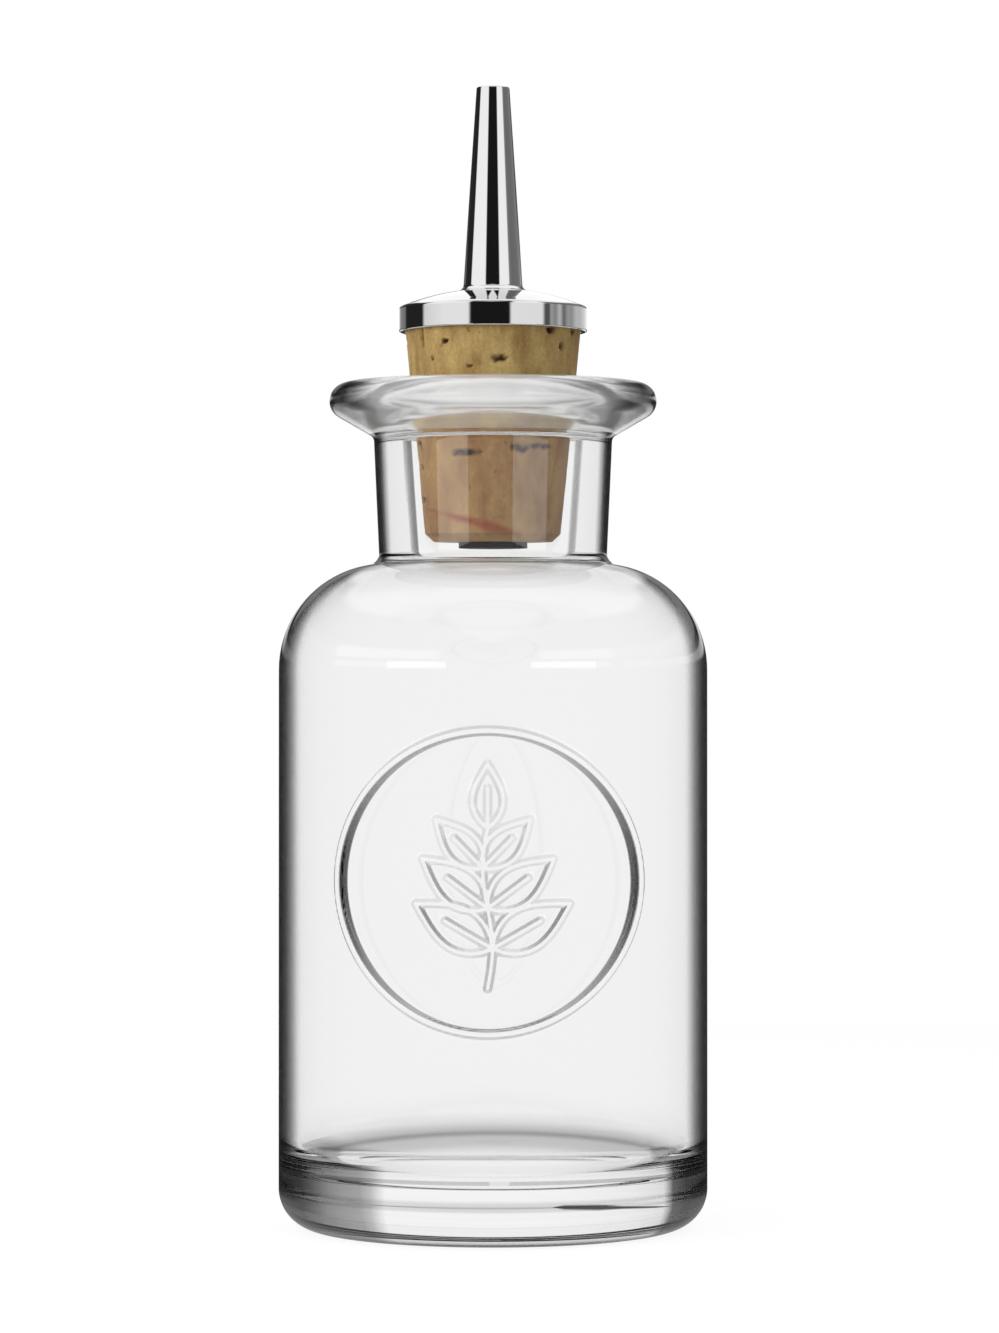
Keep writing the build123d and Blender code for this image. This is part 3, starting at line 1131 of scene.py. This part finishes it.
def pores_on(points, side, foot):
    """How deep in a pore each point of the cork's side lies, from 0 to 1."""
    draw = random.Random(PORE_SEED)
    pores = [(math.asin(mm(a) / side(foot + mm(h))), h, w, t) for a, h, w, t in FRONT_PORES]
    for _ in range(BACK_PORES):
        angle = draw.uniform(-math.pi, math.pi)
        if abs(angle) > BACK_FROM:
            size = draw.uniform(*BACK_SIZES) ** 2
            wide, tall = (least + more * size for least, more in (BACK_WIDTH, BACK_TALL))
            pores.append((angle, draw.uniform(*BACK_HEIGHTS), wide, tall))
    ragged = noise_on(points, PORE_LUMPS)
    angles = np.arctan2(points[:, 0], -points[:, 1])
    depth = np.zeros(len(points))
    for angle, height, wide, tall in pores:
        aside = (angles - angle + math.pi) % math.tau - math.pi
        across = aside * np.hypot(points[:, 0], points[:, 1]) / mm(wide / 2)
        up = (points[:, 2] - foot - mm(height)) / mm(tall / 2)
        inside = PORE_REACH - across**2 - up**2 + PORE_RAGGED * ragged
        depth = np.maximum(depth, np.clip(inside, 0, 1))
    return depth


def stain_on(points, foot):
    """How stained the cork is at each point, from 0 to 1: soaked low down, with one red streak."""
    across, back, up = (points - (0, 0, foot)).T / mm(1)
    line = STREAK_HEIGHT + STREAK_RISE * (STREAK_RIGHT - across)
    streak = STREAK_CORE - np.abs(up - line) / STREAK_HALF
    streak = streak - STREAK_FADE * np.abs(across - STREAK_MIDDLE)
    patch = np.clip(streak, 0, 1) * (back < 0) * (across < STREAK_END)
    blotch = np.array([noise.fractal(Vector(p) / BLOTCH_SIZE, *BLOTCH_NOISE) for p in points])
    soaked = SOAKED * np.clip((SOAKED_TOP - up) / SOAKED_EDGE, 0, 1)
    return np.maximum(soaked, patch * np.clip(STREAK_TONE + BLOTCH_TONE * blotch, *STREAK_LIMITS))


class BOTTLE_OT_cork(bpy.types.Operator):
    """Turns the tapered cork, sinks its pores and stains its foot"""

    bl_idname = "bottle.cork"
    bl_label = "Cork"

    def execute(self, context):
        sizes = settings("cork_sizes")
        low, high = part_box("cork_stopper")
        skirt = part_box("pourer_cap")[0].z

        def side(height):
            return sizes.foot_radius + (height - low.z) * math.tan(sizes.taper)

        outline = [
            (sizes.bore, low.z),
            (sizes.foot_radius - sizes.bevel, low.z),
            (side(low.z + sizes.bevel), low.z + sizes.bevel),
            (side(skirt), skirt),
            (sizes.head_radius, skirt),
            (sizes.head_radius, high.z),
            (sizes.bore, high.z),
            (sizes.bore, low.z),
        ]
        outline = refined(outline, low.z, skirt, sizes.grid)
        columns = round(math.tau * sizes.head_radius / sizes.grid)
        cork = turned("ground_cork", outline, even_angles(columns))
        points = corners_of(cork)
        reach = np.hypot(points[:, 0], points[:, 1])
        on_side = (reach > sizes.foot_radius - sizes.bevel) & (points[:, 2] < skirt - HAIR)
        pore = spread(pores_on(points[on_side], side, low.z), on_side, 0.0)
        sunk = SIDE_DEPTH * (noise_on(points, SIDE_GRAIN) - 1) - sizes.pore_depth * pore
        pushed(cork, np.where(on_side, sunk, 0))
        noted(cork, "pore", pore)
        noted(cork, "stain", stain_on(points, low.z))
        cork.data.set_sharp_from_angle(angle=CORK_SHARP)
        dressed(cork, "stopper", "cork_stopper", "cork", natural_cork())
        return {"FINISHED"}


def dome_height(sizes, rim, radius, skin=0.0):
    """Height of the cap's dome at a radius, on its top or a skin's depth below it."""
    sphere = (sizes.cap_radius**2 + sizes.dome_rise**2) / (2 * sizes.dome_rise)
    return rim + sizes.dome_rise - sphere + math.sqrt((sphere - skin) ** 2 - radius**2)


class BOTTLE_OT_cap(bpy.types.Operator):
    """Turns the pressed cap with its shallow dome and rolled skirt, in chrome"""

    bl_idname = "bottle.cap"
    bl_label = "Chromed cap"

    def execute(self, context):
        sizes = settings("metal_sizes")
        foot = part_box("pourer_cap")[0].z
        rim = foot + sizes.skirt
        inner = sizes.cap_radius - sizes.cap_wall
        dome_end = sizes.cap_radius - sizes.cap_edge * DOME_END
        top = [
            (r, dome_height(sizes, rim, r))
            for r in np.linspace(sizes.seat, dome_end, DOME_POINTS).tolist()
        ]
        under = [
            (r, dome_height(sizes, rim, r, sizes.cap_wall))
            for r in np.linspace(inner, sizes.collar, VAULT_POINTS).tolist()
        ]
        corners = [
            *under[1:],
            (sizes.hole, under[-1][1]),
            (sizes.hole, top[0][1]),
            *top,
            (sizes.cap_radius, rim + CAP_SHOULDER),
            (sizes.cap_radius, foot),
            (inner, foot),
            under[0],
            under[1],
        ]
        # Only the last corners, those of the skirt, are rounded
        radii = [0.0] * (len(corners) - 2)
        radii[-4:-1] = [sizes.cap_edge, sizes.skirt_edge, sizes.skirt_edge]
        outline = supported(rounded(corners, radii)[::-1])
        cap = turned("chromed_cap", outline, even_angles())
        cap.data.set_sharp_from_angle(angle=SHARP)
        dressed(cap, "stopper", "pourer_cap", "chrome", chrome_plate())
        return {"FINISHED"}


class BOTTLE_OT_spout(bpy.types.Operator):
    """Turns the tapered pouring spout with its flare and its spigot, in chrome"""

    bl_idname = "bottle.spout"
    bl_label = "Chromed spout"

    def execute(self, context):
        sizes = settings("metal_sizes")
        low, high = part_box("pourer_spout")
        seat = low.z + sizes.spigot_length
        corners = [
            (sizes.bore, low.z),
            (sizes.spigot, low.z),
            (sizes.spigot, seat),
            (sizes.spout_base + sizes.flare, seat),
            (sizes.spout_base, seat + sizes.flare),
            (sizes.spout_tip, high.z),
            (sizes.tip_bore, high.z),
            (sizes.bore, seat),
            (sizes.bore, low.z),
        ]
        radii = (0, 0, FLARE_EDGE, sizes.flare, sizes.tip_edge, sizes.tip_edge, 0)
        outline = refined(supported(rounded(corners, radii)), low.z, high.z, SPOUT_STEP)
        spout = turned("chromed_spout", outline, even_angles())
        spout.data.set_sharp_from_angle(angle=SHARP)
        dressed(spout, "stopper", "pourer_spout", "chrome", chrome_plate())
        return {"FINISHED"}


def chrome_plate():
    """Chrome plate, polished: reflects the studio almost as a mirror."""
    made = bpy.data.materials.get("chrome_plate_polished")
    tint = settings("metal_sizes").chrome
    return made or polished_metal("chrome_plate_polished", tint, least=0.02, most=0.05)


class BOTTLE_OT_core(bpy.types.Operator):
    """Finishes the two pieces inside the cork: the drawn steel shank and the moulded dash insert"""

    bl_idname = "bottle.core"
    bl_label = "Shank and dash insert"

    def execute(self, context):
        steel = polished_metal("stainless_steel_drawn", linear("#8f8e8c"), least=0.22, most=0.34)
        for node, material in (("shank_tube", steel), ("dash_insert", moulded_polyethylene())):
            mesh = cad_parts[node].data
            mesh.materials.clear()
            mesh.materials.append(material)
        return {"FINISHED"}


def studio_world(sizes):
    """White all round for the camera, dark cards and soft boxes for mirrors, even light elsewhere."""
    world = bpy.data.worlds.new("studio")
    bpy.context.scene.world = world
    world.use_nodes = True
    tree = world.node_tree
    tree.nodes.clear()
    x, y, z = add(tree, "SeparateXYZ", [add(tree, "TexCoord").outputs["Generated"]]).outputs
    toward = add(tree, "Math", [y, -1.0], "MULTIPLY")
    path = add(tree, "LightPath").outputs

    # The cards, by the way round, for level mirrors and for those that lean back
    angle = add(tree, "Math", [x, toward], "ARCTAN2")
    round_share = add(tree, "Math", [angle, 1 / math.tau, 0.5], "MULTIPLY_ADD")
    level, leaning = (add(tree, "ValToRGB", [round_share]) for _ in range(2))
    for ramp, values in ((level, MIRROR_ROUND), (leaning, MIRROR_UP)):
        set_stops(ramp, [(degrees / 360 + 0.5, value) for degrees, value in values])
    upward = add(tree, "Math", [z, OVER_FLAGS], "GREATER_THAN")
    cards = add(tree, "Mix", {0: upward, 6: level, 7: leaning}, data_type="RGBA").outputs[2]

    # What is seen through the glass, and the slopes at which the glass mirrors the cards
    slope_share = add(tree, "Math", [z, 0.5, 0.5], "MULTIPLY_ADD")
    backdrop, carded = (add(tree, "ValToRGB", [slope_share]) for _ in range(2))
    for ramp, values in ((backdrop, GLASS_SLOPES), (carded, CARD_SLOPES)):
        set_stops(ramp, [(slope / 2 + 0.5, value) for slope, value in values])
    bounced = add(tree, "Math", [path["Glossy Depth"], 0.5], "GREATER_THAN")
    kept = add(tree, "MapRange", [bounced, 0.0, 1.0, 1.0, GLASS_MIRRORED])
    behind_glass = add(tree, "VectorMath", {0: backdrop, "Scale": kept}, "SCALE")
    off_back = add(tree, "MapRange", [toward, *BACK_END])
    blurred = add(tree, "Math", [off_back, path["Is Singular Ray"]], "SUBTRACT")
    carded = add(tree, "Math", [carded, blurred], "MAXIMUM")
    low = (MIRROR_LOW, MIRROR_LOW, MIRROR_LOW, 1)
    banded = add(tree, "Mix", {0: carded, 6: low, 7: cards}, data_type="RGBA").outputs[2]

    # The white ceiling, whose edge comes down toward the back and goes up at the sides
    aside = add(tree, "Math", [x], "ABSOLUTE")
    aside = add(tree, "Math", [aside, CEILING_ASIDE], "MINIMUM")
    rise = add(tree, "Math", [toward, -CEILING_TILT, z], "MULTIPLY_ADD")
    rise = add(tree, "Math", [rise, aside], "SUBTRACT")
    overhead = add(tree, "MapRange", [rise, *CEILING_EDGE], interpolation_type="SMOOTHSTEP")
    once = add(tree, "Math", [path["Glossy Depth"], 1.5], "LESS_THAN")
    ahead = add(tree, "MapRange", [toward, *FRONT_START, 0.0, once])
    ceiling = add(tree, "MapRange", [ahead, 0.0, 1.0, MIRROR_TOP, MIRROR_FRONT])
    mirrored = add(tree, "Mix", {0: overhead, 6: banded, 7: ceiling}, data_type="RGBA").outputs[2]

    seen = (sizes.ambient, sizes.ambient, sizes.ambient, 1)
    for kind, shown in (
        ("Is Glossy Ray", mirrored),
        ("Is Transmission Ray", behind_glass),
        ("Is Camera Ray", (1, 1, 1, 1)),
    ):
        seen = add(tree, "Mix", {0: path[kind], 6: seen, 7: shown}, data_type="RGBA").outputs[2]
    sky = add(tree, "Background", [seen, 1.0])
    tree.links.new(sky.outputs[0], tree.nodes.new("ShaderNodeOutputWorld").inputs["Surface"])
    world.cycles.sampling_method = "NONE"


def paper_floor(sizes):
    """Matt white paper that glows to join the white behind it, keeps the bottle's shadow, and shows
    mirrors a painted bright patch.
    """
    material, tree, output = blank("paper_white_matt")
    path = add(tree, "LightPath").outputs
    bright, ahead, near, far = PAPER_PAINTED_PATCH
    place = add(tree, "TexCoord").outputs["Object"]
    spot = add(tree, "VectorMath", [place, (0, -ahead, 0)], "DISTANCE")
    painted_patch = add(
        tree,
        "MapRange",
        [spot.outputs["Value"], near, far, bright, MIRROR_LOW],
        interpolation_type="SMOOTHSTEP",
    )
    bounced = add(tree, "Math", [path["Glossy Depth"], 0.5], "GREATER_THAN")
    kept = add(
        tree, "MapRange", [bounced, 0.0, 1.0, PAPER_THROUGH, PAPER_THROUGH * GLASS_MIRRORED]
    )
    level = add(tree, "Mix", {0: path["Is Glossy Ray"], 2: sizes.glow, 3: painted_patch})
    level = add(tree, "Mix", {0: path["Is Transmission Ray"], 2: level, 3: kept})
    shown = path["Is Camera Ray"]
    for kind in ("Is Glossy Ray", "Is Transmission Ray"):
        shown = add(tree, "Math", [shown, path[kind]], "MAXIMUM")
    weight = add(tree, "Math", [shown, PAPER_GLOW], "MULTIPLY")
    weight = add(tree, "Math", [weight, path["Is Glossy Ray"]], "MAXIMUM")
    fibre = add(tree, "TexNoise", {"Scale": 1 / mm(1.5), "Detail": 4.0})
    tone = add(tree, "ValToRGB", [fibre])
    set_stops(tone, [(0.3, linear("#eeeeec")), (0.7, tuple(sizes.paper))])
    paper = add(tree, "BsdfDiffuse", [tone])
    glow = add(tree, "Emission", [(1, 1, 1, 1), level])
    mixed = add(tree, "MixShader", [weight, paper, glow])
    tree.links.new(mixed.outputs[0], output.inputs["Surface"])
    return material


def soft_box(name, place, size, watts, mirrored):
    """A soft box that lights the bottle's middle. Nothing shows it but mirrors, if it is mirrored."""
    data = bpy.data.lights.new(name, "AREA")
    data.shape = "RECTANGLE"
    data.size, data.size_y = size
    data.energy = watts
    lamp = bpy.data.objects.new(name, data)
    lamp.location = place
    aim = Vector((0, 0, place[2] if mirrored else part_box("cork_stopper")[0].z)) - Vector(place)
    lamp.rotation_euler = aim.to_track_quat("-Z", "Y").to_euler()
    lamp.visible_camera = lamp.visible_transmission = False
    lamp.visible_glossy = mirrored
    bpy.context.scene.collection.objects.link(lamp)


class BOTTLE_OT_studio(bpy.types.Operator):
    """Sets the camera where the photograph was taken from, the pale floor and the soft light"""

    bl_idname = "bottle.studio"
    bl_label = "Studio"

    def execute(self, context):
        sizes = settings("studio_settings")
        data = bpy.data.cameras.new("camera")
        data.sensor_width = sizes.sensor / mm(1)
        data.lens = sizes.lens / mm(1)
        data.clip_start = mm(10)
        camera = bpy.data.objects.new("camera", data)
        back = Vector((math.sin(sizes.camera_turn), -math.cos(sizes.camera_turn), 0))
        right = Vector((-back.y, back.x, 0))
        camera.location = back * sizes.distance + right * sizes.camera_aside
        camera.location.z = sizes.camera_height
        camera.rotation_euler = (math.pi / 2 + sizes.camera_tilt, 0, sizes.camera_turn)
        context.scene.collection.objects.link(camera)
        context.scene.camera = camera
        context.scene.view_settings.view_transform = "Standard"

        rim = [(0, 0), (sizes.floor / 2, 0), (sizes.floor / 2, -PAPER_DEPTH), (0, -PAPER_DEPTH)]
        floor = turned("paper_floor", rim[::-1], even_angles())
        floor.data.materials.append(paper_floor(sizes))
        floor.data.set_sharp_from_angle(angle=SHARP)
        studio_world(sizes)
        for name, place, size, power, mirrored in SOFT_BOXES:
            soft_box(name, place, size, getattr(sizes, power), mirrored)
        return {"FINISHED"}


PIECE_OPERATORS = (
    BOTTLE_OT_studio,
    BOTTLE_OT_glass,
    BOTTLE_OT_cork,
    BOTTLE_OT_cap,
    BOTTLE_OT_spout,
    BOTTLE_OT_core,
)
SIZE_GROUPS = {
    "bottle_sizes": BottleSizes,
    "roundel_sizes": RoundelSizes,
    "cork_sizes": CorkSizes,
    "metal_sizes": MetalSizes,
    "studio_settings": StudioSettings,
}


class BOTTLE_PT_dress(bpy.types.Panel):
    """Lists the pieces and the sizes that they are made from"""

    bl_idname = "BOTTLE_PT_dress"
    bl_label = "Bitters Bottle"
    bl_space_type = "VIEW_3D"
    bl_region_type = "UI"
    bl_category = "Bottle"

    def draw(self, context):
        for operator in PIECE_OPERATORS:
            self.layout.operator(operator.bl_idname)
        for name, group in SIZE_GROUPS.items():
            box = self.layout.box()
            box.label(text=group.__doc__)
            for field in group.__annotations__:
                label = field.replace("_", " ").capitalize()
                box.prop(getattr(context.scene, name), field, text=label)


def register():
    for kind in (*SIZE_GROUPS.values(), *PIECE_OPERATORS, BOTTLE_PT_dress):
        bpy.utils.register_class(kind)
    for name, group in SIZE_GROUPS.items():
        setattr(bpy.types.Scene, name, bpy.props.PointerProperty(type=group))


def unregister():
    for name in SIZE_GROUPS:
        delattr(bpy.types.Scene, name)
    for kind in (BOTTLE_PT_dress, *PIECE_OPERATORS[::-1], *SIZE_GROUPS.values()):
        bpy.utils.unregister_class(kind)


def main():
    """Registers the add-on, and makes every piece and the studio."""
    register()
    for operator in PIECE_OPERATORS:
        group, name = operator.bl_idname.split(".")
        getattr(getattr(bpy.ops, group), name)()


if __name__ == "__main__":
    main()
